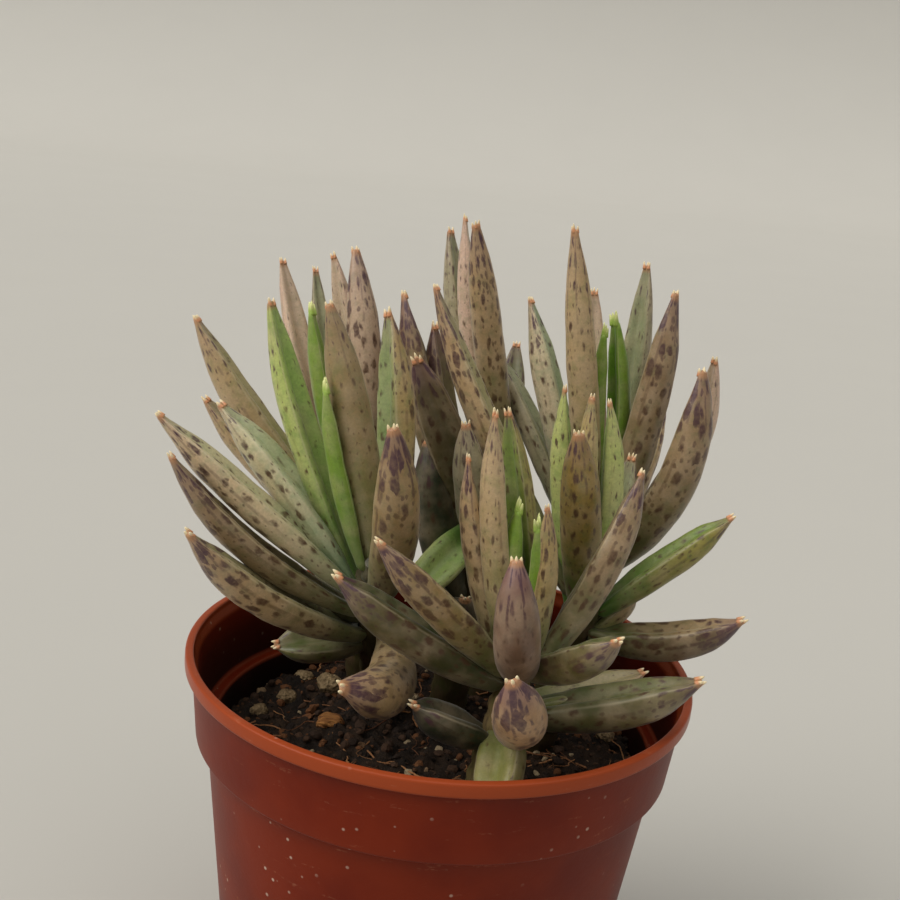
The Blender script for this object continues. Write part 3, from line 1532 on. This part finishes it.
class PLANT_OT_stage(bpy.types.Operator):
    """Sets the pale floor and backdrop, the soft lights and the camera"""

    bl_idname = "plant.stage"
    bl_label = "Stage"

    def execute(self, context):
        settings = context.scene.plant_stage
        self.make_floor(tuple(settings.floor_colour))
        self.make_lights(context)
        self.make_camera(context, settings)
        return {"FINISHED"}

    def make_floor(self, colour):
        """A sheet that lies flat and then curves up behind the pot."""
        reach, bend_r, wide = 2.2, 0.8, 5.0
        run = [(-3.0, 0.0), (-1.0, 0.0), (0.0, 0.0), (1.0, 0.0), (reach, 0.0)]
        for i in range(1, 17):
            angle = math.pi / 2 * i / 16
            rise = bend_r - bend_r * math.cos(angle)
            run.append((reach + bend_r * math.sin(angle), rise))
        run.append((reach + bend_r, 4.0))
        points = [(x, y, z) for y, z in run for x in (-wide, wide)]
        faces = [(2 * i, 2 * i + 1, 2 * i + 3, 2 * i + 2) for i in range(len(run) - 1)]
        mesh = bpy.data.meshes.new("floor")
        mesh.from_pydata(points, [], faces)
        for face in mesh.polygons:
            face.use_smooth = True
        new_piece("floor", mesh, plain_material("pale floor", colour, 0.85))

    def make_lights(self, context):
        world = bpy.data.worlds.new("soft room")
        world.use_nodes = True
        sky = world.node_tree.nodes["Background"]
        sky.inputs["Color"].default_value = (1.0, 0.98, 0.95, 1.0)
        sky.inputs["Strength"].default_value = 0.22
        context.scene.world = world
        soft_sun("key", (-0.95, -0.4, 0.95), 2.05, 45, (1.0, 0.97, 0.93))
        soft_sun("top", (0.15, -0.3, 1.0), 1.15, 70, (1.0, 0.98, 0.95))

    def make_camera(self, context, settings):
        """Stands at the photograph's viewing angle, rolled as it is."""
        rise, pitch, yaw, roll = [math.radians(a) for a in (24.23, 15.2, -0.61, 6.13)]
        away = Vector((0, -math.cos(rise), math.sin(rise)))
        place = Vector((0, 0, POT_H * MM)) + away * settings.camera_distance
        look = Vector(
            (
                math.sin(yaw) * math.cos(pitch),
                math.cos(yaw) * math.cos(pitch),
                -math.sin(pitch),
            )
        )
        right = look.cross(UP).normalized()
        up = right.cross(look)
        level = right * math.cos(roll) + up * math.sin(roll)
        top = up * math.cos(roll) - right * math.sin(roll)
        data = bpy.data.cameras.new("camera")
        data.lens = settings.lens
        data.sensor_width = 36.0
        data.clip_start = 0.01
        camera = bpy.data.objects.new("camera", data)
        turn = Matrix((level, top, -look)).transposed().to_4x4()
        camera.matrix_world = Matrix.Translation(place) @ turn
        context.scene.collection.objects.link(camera)
        context.scene.camera = camera
        context.scene.view_settings.view_transform = "Standard"


class PLANT_PT_panel(bpy.types.Panel):
    """Lists the makers of the plant and their settings."""

    bl_idname = "PLANT_PT_panel"
    bl_label = "Mother of thousands"
    bl_space_type = "VIEW_3D"
    bl_region_type = "UI"
    bl_category = "Plant"

    def draw(self, context):
        scene = context.scene
        for maker in MAKERS:
            self.layout.operator(maker.bl_idname)
        for name, group in SETTINGS.items():
            box = self.layout.box()
            box.label(text=group.__doc__)
            for key in group.__annotations__:
                box.prop(getattr(scene, name), key)


SETTINGS = {
    "plant_pot": PotSettings,
    "plant_soil": SoilSettings,
    "plant_leaves": LeafSettings,
    "plant_stage": StageSettings,
}
MAKERS = (
    PLANT_OT_stage,
    PLANT_OT_pot,
    PLANT_OT_soil,
    PLANT_OT_stones,
    PLANT_OT_shoots,
    PLANT_OT_young_leaves,
)
CLASSES = (*SETTINGS.values(), *MAKERS, PLANT_PT_panel)


def register():
    for cls in CLASSES:
        bpy.utils.register_class(cls)
    for name, group in SETTINGS.items():
        setattr(bpy.types.Scene, name, PointerProperty(type=group))


def unregister():
    for name in SETTINGS:
        delattr(bpy.types.Scene, name)
    for cls in reversed(CLASSES):
        bpy.utils.unregister_class(cls)


def main():
    """Makes every piece in order and notes the packed and the dressed size."""
    register()
    bpy.ops.plant.stage()
    bpy.ops.plant.pot()
    bpy.ops.plant.soil()
    bpy.ops.plant.stones()
    bpy.ops.plant.shoots()
    bpy.ops.plant.young_leaves()


if __name__ == "__main__":
    main()
